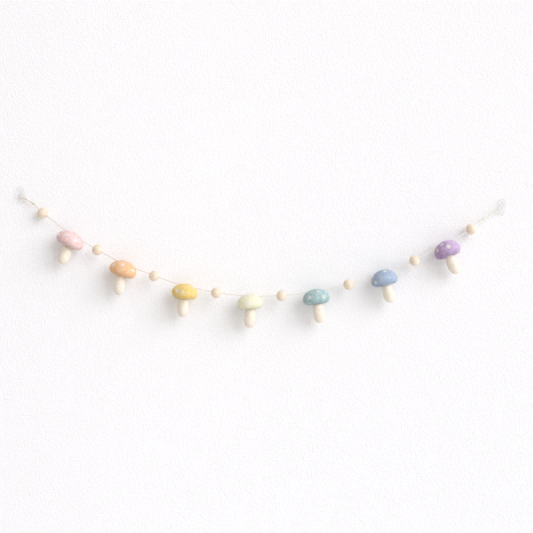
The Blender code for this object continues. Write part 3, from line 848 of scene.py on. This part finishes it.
def plate_grid():
    """The hook's plate: rings of its outline from the middle of the back to that of the front.

    The outline is |sin|^0.62 wide and cos high, wider at the top and narrowed at the waist. The
    back's edge is barely rounded and the front's is a quarter circle.
    """
    turn = full_turn(PLATE_SIDES)
    side = np.sin(turn)
    width = np.sign(side) * np.abs(side) ** PLATE_SQUARENESS * PLATE_WIDTH / 2
    width *= (1 + PLATE_TAPER * np.cos(turn)) * (1 - PLATE_WAIST * side**8)
    height = PLATE_LENGTH / 2 * np.cos(turn)
    ease = np.linspace(0, math.pi / 2, EDGE_RINGS)
    inner = np.array([0.02, 0.3, 0.6, 0.85])
    back = np.array([0.97, 1.0])
    edge = 1 - PLATE_EDGE / (PLATE_WIDTH / 2) * (1 - np.cos(ease))
    share = np.concatenate([inner, back, [1.0], edge, inner[::-1] * edge[-1]])
    level = np.concatenate([
        0 * inner, [0.0, 0.12 * MM], [0.5 * PLATE_THICKNESS],
        PLATE_THICKNESS - PLATE_EDGE * (1 - np.sin(ease)),
        0 * inner + PLATE_THICKNESS,
    ])
    return np.stack([
        share[:, None] * width,
        np.broadcast_to(-level[:, None], (len(share), len(turn))),
        share[:, None] * height,
    ], axis=-1)


def arm_grid():
    """The hook's arm: rings of its own radius along the smooth line through the arm's route, drawn
    to a dome at the knob's top."""
    route = spline(ARM_ROUTE, ARM_POINTS)
    y, z, radius = route.T
    ahead = unit(np.stack([np.gradient(y), np.gradient(z)], axis=1))
    turn = full_turn(ARM_SIDES)
    across = radius[:, None] * np.cos(turn)
    over = radius[:, None] * np.sin(turn)
    body = np.stack(
        [across, y[:, None] - over * ahead[:, 1:], z[:, None] + over * ahead[:, :1]], axis=-1
    ) * MM
    t = np.array([0.35, 0.65, 0.85, 0.96])[:, None]
    shrink = np.sqrt(1 - t**2)
    rest = (KNOB_TOP / MM - z[-1]) * t
    dome = np.stack([
        radius[-1] * shrink * np.cos(turn),
        y[-1] - radius[-1] * shrink * np.sin(turn) + 0 * t,
        z[-1] + rest + 0 * turn,
    ], axis=-1) * MM
    return np.concatenate([body, dome])


def clear_hook(row):
    """One hook: the plate with the arm joined to it as one solid."""
    place = {"x": row.x, "z": row.z, "turn": row.turn}
    name = f"hook_{row.name}"
    plate = skin(name + "_clear", turned_in_wall(plate_grid(), **place), clear_plastic)
    arm = skin(name + "_arm", turned_in_wall(arm_grid(), **place), clear_plastic)
    joined = plate.modifiers.new("joined", "BOOLEAN")
    joined.operation = "UNION"
    joined.solver = "EXACT"
    joined.object = arm
    graph = bpy.context.evaluated_depsgraph_get()
    mesh = bpy.data.meshes.new_from_object(plate.evaluated_get(graph))
    plate.modifiers.clear()
    plate.data = mesh
    bpy.data.objects.remove(arm, do_unlink=True)
    part_of(plate, "hook_clear", name)


# Materials

class Value:
    """A socket of a material. Arithmetic on it adds Math nodes."""

    def __init__(self, paint, socket):
        self.paint = paint
        self.socket = socket

    def math(self, operation, *others):
        inputs = dict(enumerate((self, *others)))
        return self.paint.node("ShaderNodeMath", {"operation": operation}, inputs)

    def __add__(self, other):
        return self.math("ADD", other)

    def __sub__(self, other):
        return self.math("SUBTRACT", other)

    def __mul__(self, other):
        return self.math("MULTIPLY", other)

    def __pow__(self, other):
        return self.math("POWER", other)

    def __rsub__(self, other):
        return self.paint.node("ShaderNodeMath", {"operation": "SUBTRACT"}, {0: other, 1: self})

    __radd__ = __add__
    __rmul__ = __mul__

    def __abs__(self):
        return self.math("ABSOLUTE")

    def step(self, low, high):
        """0 below low, 1 above high, and a smooth rise between them."""
        settings = {"interpolation_type": "SMOOTHSTEP"}
        inputs = {"Value": self, "From Min": low, "From Max": high}
        return self.paint.node("ShaderNodeMapRange", settings, inputs)


class Nodes:
    """The nodes of one tree."""

    def __init__(self, tree):
        self.tree = tree

    def node(self, kind, settings=None, inputs=None, out=0):
        """A node of this type: its settings first, then its sockets' values or links."""
        made = self.tree.nodes.new(kind)
        for key, value in (settings or {}).items():
            setattr(made, key, value)
        for key, value in (inputs or {}).items():
            self.put(value, made.inputs[key])
        return Value(self, made.outputs[out])

    def put(self, value, socket):
        """Link a value to a socket, or set the socket to a plain number or colour."""
        if isinstance(value, Value):
            self.tree.links.new(value.socket, socket)
        else:
            socket.default_value = value

    def mix(self, share, first, second):
        """second over first, by this share of it. A plain colour is three numbers."""
        inputs = {0: share}
        for key, colour in ((6, first), (7, second)):
            inputs[key] = colour if isinstance(colour, Value) else (*colour, 1.0)
        return self.node("ShaderNodeMix", {"data_type": "RGBA"}, inputs, out=2)

    def here(self, out="Object"):
        return self.node("ShaderNodeTexCoord", out=out)

    def along_wall(self):
        return self.node("ShaderNodeSeparateXYZ", None, {"Vector": self.here()}, out="X")

    def noise(self, place, scale, detail=2.0, roughness=0.5, distortion=0.0):
        inputs = {
            "Vector": place,
            "Scale": scale,
            "Detail": detail,
            "Roughness": roughness,
            "Distortion": distortion,
        }
        return self.node("ShaderNodeTexNoise", None, inputs, out="Fac")

    def cells(self, place, scale):
        """The distance to the nearest of scattered points."""
        inputs = {"Vector": place, "Scale": scale, "Randomness": 1.0}
        return self.node("ShaderNodeTexVoronoi", None, inputs, out="Distance")

    def attribute(self, name, out="Fac"):
        return self.node("ShaderNodeAttribute", {"attribute_name": name}, out=out)


class Paint(Nodes):
    """The nodes of one material with a Principled shader."""

    def __init__(self, name, **constants):
        self.material = bpy.data.materials.new(name)
        self.material.use_nodes = True
        super().__init__(self.material.node_tree)
        self.shader = self.tree.nodes["Principled BSDF"]
        for key, value in constants.items():
            self.shader.inputs[key.replace("_", " ")].default_value = value

    def wear(self, colour=None, roughness=None, alpha=None, height=None, depth=0.0):
        """Link colour, roughness and alpha, and a height through a Bump node of this depth."""
        for key, value in (("Base Color", colour), ("Roughness", roughness), ("Alpha", alpha)):
            if value is not None:
                self.put(value, self.shader.inputs[key])
        if height is not None:
            inputs = {"Height": height, "Distance": depth, "Strength": 0.9}
            self.put(self.node("ShaderNodeBump", None, inputs, out="Normal"),
                     self.shader.inputs["Normal"])
        return self.material


def darker(colour, share):
    return tuple(share * part for part in colour)


def wool(name, dye):
    """Needle-felted wool: cloudy dye, a tangle of fine fibres, the pits of the needle and a few
    deeper holes, which are faint in plain wool; pits and holes are painted darker, as shade in
    them.
    It is darker where the firm attribute lays painted shade.

    Each of three layers of fibres is the thin line along which smooth noise n crosses one half,
    1 - 22 |n - 0.5|. Spots of paler wool come from the distance attribute, with their edge broken
    up by finer noise and a faint painted shade round it.
    """
    paint = Paint(name, Roughness=0.92, Specular_IOR_Level=0.25,
                  Sheen_Weight=dye.sheen, Sheen_Roughness=0.5)
    here = paint.here()
    clouds = paint.noise(here, 150.0, 3.0, 0.55)
    tufts = paint.noise(here, 430.0, 3.0, 0.62, 0.6)
    tangle = 0.0
    for turn, scale in ((0.0, 420.0), (0.9, 560.0), (2.1, 760.0)):
        turned = paint.node("ShaderNodeMapping", None, {
            "Vector": here, "Location": (turn, 0.0, 0.0), "Rotation": (turn, 2 * turn, 0.0)})
        line = 1 - abs(paint.noise(turned, scale, 1.0, 0.4, 0.8) - 0.5) * 22.0
        tangle = line.step(0.0, 1.0) + tangle
    chosen = paint.noise(here, 240.0, 1.0).step(0.50, 0.64)
    # the needle's pits, also painted darker in the tone below as shade in them
    pits = (1 - paint.cells(here, 420.0).step(0.04, 0.30)) * chosen
    tone = clouds * 0.6 + tufts * 0.95 + tangle * 0.05 - pits * 0.42
    colour = paint.mix(tone.step(0.40, 1.14), dye.deep, dye.light)
    colour = paint.mix(tangle * 0.10, colour, FIBRE_WHITE)
    chosen = paint.noise(here, 95.0, 1.0).step(0.48, 0.58)
    # deeper needle holes, painted darker in the colour below as shade in them
    holes = (1 - paint.cells(here, 190.0).step(0.05, 0.17)) * chosen
    holes = holes * (1.0 if dye.spots else 0.3)
    # painted shade under the caps, on their left sides and on the stems below them, with the holes'
    # painted shade
    firm = paint.attribute("firm")
    colour = paint.mix(firm * 0.36 + holes * 0.5, colour, darker(dye.deep, 0.6))
    if dye.spots:
        edge = paint.attribute("spot")
        shows = paint.attribute("spot_strength")
        ragged = edge + (paint.noise(here, 1500.0, 2.0) - 0.5) * 0.9
        worn = (1 - edge.step(-2.6, -1.0)) * 0.30
        mask = (1 - ragged.step(-0.35, 0.25)) * shows * (1 - worn)
        # rim: a faint painted shade of the deep tint round the edge of each spot, where it sinks in
        # a dent
        rim = ragged.step(-0.25, 0.15) * (1 - ragged.step(0.15, 0.8)) * shows
        tint = paint.mix(tufts.step(0.3, 0.6), darker(dye.spots, 0.9), dye.spots)
        colour = paint.mix(rim * 0.16, colour, dye.deep)
        colour = paint.mix(mask * 0.94, colour, tint)
    height = tufts * 0.5 + tangle * 0.16 - pits * 0.9 - holes * 1.4
    return paint.wear(colour, height=height, depth=0.40 * MM)


def turned_wood():
    """Pale turned beech: growth rings as a wave across the grain, fine pores along it, and a
    matt sanded surface."""
    paint = Paint("turned_beech", Roughness=0.55, Specular_IOR_Level=0.35)
    grain = paint.attribute("grain", out="Vector")
    long_grain = paint.node("ShaderNodeMapping", None, {"Vector": grain, "Scale": (1.0, 1.0, 0.10)})
    bend = paint.noise(long_grain, 0.22, 2.0)
    rings = paint.node(
        "ShaderNodeTexWave",
        {"bands_direction": "X", "wave_profile": "SIN"},
        {"Vector": long_grain, "Scale": 0.17, "Distortion": 4.0, "Detail": 2.0,
         "Detail Scale": 0.8},
        out="Fac",
    )
    pores = paint.noise(long_grain, 3.4, 3.0, 0.65)
    tone = rings * 0.28 + bend * 0.6 + (pores - 0.5) * 0.7
    colour = paint.mix(tone.step(0.10, 0.80), BEECH_DEEP, BEECH_PALE)
    fleck = (1 - pores.step(0.30, 0.43)) * 0.35
    colour = paint.mix(fleck, colour, BEECH_PORE)
    height = pores * 0.6 + rings * 0.1
    return paint.wear(colour, roughness=0.62 - rings * 0.10, height=height, depth=0.05 * MM)


def twisted_cotton():
    """Undyed cotton: cream on the crown of each ply and darker tan in the grooves as painted shade,
    paler towards the right end, with fine fibres that run across the length at the twist's slant."""
    paint = Paint("twisted_cotton", Roughness=0.9, Specular_IOR_Level=0.2, Sheen_Weight=0.2)
    crown = paint.attribute("crown")
    surface = paint.node("ShaderNodeUVMap", {"uv_map": "surface"})
    slanted = paint.node("ShaderNodeMapping", None, {
        "Vector": surface, "Rotation": (0.0, 0.0, 0.5), "Scale": (14.0, 900.0, 1.0)})
    fibres = paint.noise(slanted, 3.0, 3.0, 0.6)
    patches = paint.noise(paint.here(), 90.0, 2.0)
    tone = crown * 0.55 + fibres * 0.5 + patches * 0.35
    # the grooves between the plies take the tan of painted shade
    colour = paint.mix(tone.step(0.35, 1.15), COTTON_GROOVE_SHADE, COTTON_CROWN)
    colour = paint.mix(paint.along_wall().step(0.05, 0.72) * 0.75, colour, COTTON_PALE)
    return paint.wear(colour, height=fibres + crown * 0.3, depth=0.10 * MM)


def plastic():
    """Clear moulded plastic: nearly see-through face on, and paler grey and denser where the
    surface turns away, with faint ripples from the mould."""
    paint = Paint("clear_plastic", Roughness=0.10, Specular_IOR_Level=0.7, Coat_Weight=0.4)
    facing = paint.node("ShaderNodeLayerWeight", None, {"Blend": 0.42}, out="Facing")
    ripple = paint.noise(paint.here(), 260.0, 2.0)
    colour = paint.mix(facing, CLEAR_FACE, CLEAR_EDGE)
    alpha = 0.055 + facing**2 * 0.52 + (ripple - 0.5) * 0.02
    return paint.wear(colour, roughness=0.08 + ripple * 0.06, alpha=alpha, height=ripple,
                      depth=0.15 * MM)


def plaster():
    """White painted plaster, a little greyer to the right as painted shade that evens out the
    brighter
    light there: a fine rolled texture of soft lumps, seen only from the front."""
    paint = Paint("wall_plaster", Roughness=0.75, Specular_IOR_Level=0.25)
    here = paint.here()
    grain = paint.noise(here, 330.0, 1.2, 0.4)
    broad = paint.noise(here, 6.0, 2.0)
    colour = paint.mix(broad, WALL_DIM, WALL_PALE)
    # painted shade to the right, against the brighter light there
    colour = paint.mix(paint.along_wall().step(0.1, 0.9), colour, WALL_RIGHT_SHADE)
    paint.wear(colour, height=grain + paint.noise(here, 680.0, 1.0) * 0.4, depth=0.65 * MM)
    behind = paint.node("ShaderNodeNewGeometry", out="Backfacing")
    clear = paint.node("ShaderNodeBsdfTransparent")
    front = Value(paint, paint.shader.outputs[0])
    both = paint.node("ShaderNodeMixShader", None, {0: behind, 1: front, 2: clear})
    output = paint.tree.nodes["Material Output"]
    paint.put(both, output.inputs["Surface"])
    return paint.material


# Stage and light

def stage_plane(name, corners, material):
    """A flat four-sided piece of the stage."""
    mesh = bpy.data.meshes.new(name)
    mesh.from_pydata(corners, [], [(0, 1, 2, 3)])
    mesh.materials.append(material)
    obj = bpy.data.objects.new(name, mesh)
    bpy.context.scene.collection.objects.link(obj)


def stage():
    """The wall behind the garland and the floor below it, both pale and plain."""
    left, right, top, floor = -2.6, 3.4, 1.9, -1.25
    wall, front = 0.4 * MM, -4.0
    stage_plane("wall", [(left, wall, floor), (right, wall, floor), (right, wall, top),
                         (left, wall, top)], plaster())
    paint = Paint("floor_paint", Roughness=0.8, Specular_IOR_Level=0.2)
    soft = paint.noise(paint.here(), 3.0, 2.0)
    stage_plane("floor", [(left, front, floor), (right, front, floor), (right, wall, floor),
                          (left, wall, floor)], paint.wear(paint.mix(soft, FLOOR_DIM, FLOOR_PALE)))


def area_light(row):
    """A square lamp at its place, turned to its aim and not seen itself."""
    data = bpy.data.lights.new(row.name, "AREA")
    data.shape = "SQUARE"
    data.size = row.side
    data.energy = row.power
    data.color = row.tint
    lamp = bpy.data.objects.new(row.name, data)
    lamp.location = row.at
    lamp.visible_camera = False
    away = np.array(row.at) - np.array(row.towards)
    lamp.rotation_euler = (
        math.acos(away[2] / np.linalg.norm(away)), 0.0, math.atan2(away[1], away[0]) + math.pi / 2
    )
    bpy.context.scene.collection.objects.link(lamp)


def light():
    """Soft light from a wide source up on the right and a weak one along the wall from the right,
    in a pale room that is warmer and darker below and on the left."""
    for row in LAMPS:
        area_light(row)
    world = bpy.data.worlds.new("pale_room")
    world.use_nodes = True
    room = Nodes(world.node_tree)
    towards = room.here("Generated")
    right = room.node("ShaderNodeVectorMath", {"operation": "DOT_PRODUCT"},
                      {0: towards, 1: ROOM_BRIGHT_WAY}, out="Value")
    colour = room.mix(right.step(-0.9, 0.9), ROOM_DIM, ROOM_BRIGHT)
    shade = world.node_tree.nodes["Background"]
    room.put(colour, shade.inputs["Color"])
    shade.inputs["Strength"].default_value = ROOM_STRENGTH
    bpy.context.scene.world = world
    bpy.context.scene.view_settings.view_transform = "Standard"


make_camera()

cotton = twisted_cotton()
main_line = string_line()
strung = cut(main_line, KNOT_LENGTH / 2 - INTO_KNOT)
main_string = string_piece("string", strung)
for hook, end in zip(HOOKS, (0, -1)):
    direction = np.gradient(main_line, axis=0)[end]
    knot_piece(f"knot_{hook.name}", main_line[end], direction)
for hook, end in zip(HOOKS, (0, -1)):
    looped = loop_line(hook, main_line[end])
    piece = string_piece(f"loop_{hook.name}", looped)

felt = {row.name: wool(f"felt_{row.name}", CAP_WOOL[row.name]) for row in MUSHROOMS}
stem_felt = wool("felt_cream", STEM_WOOL)
for number, mushroom in enumerate(MUSHROOMS):
    felt_cap(mushroom, number, main_line)
    felt_stem(mushroom, number, main_line)

wood = turned_wood()
for number in range(1, len(BEAD_X) + 1):
    wooden_bead(number, main_line)

clear_plastic = plastic()
for hook in HOOKS:
    clear_hook(hook)

stage()
light()
